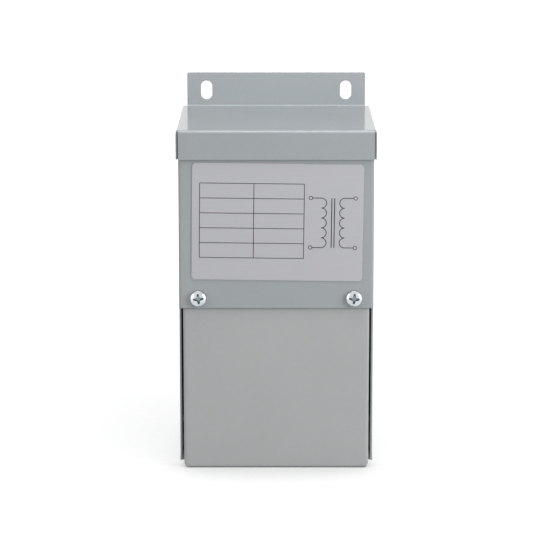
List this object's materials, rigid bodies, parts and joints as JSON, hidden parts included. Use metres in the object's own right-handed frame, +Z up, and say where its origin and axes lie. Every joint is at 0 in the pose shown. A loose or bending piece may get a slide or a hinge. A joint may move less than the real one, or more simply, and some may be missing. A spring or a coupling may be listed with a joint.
{
  "type": "encapsulated general purpose transformer",
  "caption": "Small wall-mounted dry transformer in a grey folded-steel enclosure, with a lipped cap, an upright slotted flange and a screwed wiring cover.",
  "frame": {"origin": "middle of the base, on the surface that the enclosure stands on", "axes": "+Z up, the label panel and wiring cover face -Y, the wall face looks along +Y, +X to the right seen from the front"},
  "size_m": [0.0798, 0.0784, 0.1524],
  "materials": {
    "enclosure_paint": "gloss",
    "zinc_screw": "satin",
    "plain_nameplate": "satin",
    "potting_resin": "matte"
  },
  "bodies": {
    "root": {"top_cap": "enclosure_paint", "housing_shell": "enclosure_paint", "back_panel": "enclosure_paint", "wiring_cover": "enclosure_paint", "nameplate": "plain_nameplate", "left_cover_screw": "zinc_screw", "right_cover_screw": "zinc_screw", "left_knockout_ring": "enclosure_paint", "left_knockout_slug": "enclosure_paint", "right_knockout_ring": "enclosure_paint", "right_knockout_slug": "enclosure_paint", "back_knockout_ring": "enclosure_paint", "back_knockout_slug": "enclosure_paint", "potted_core": "potting_resin"}
  },
  "joints": []
}
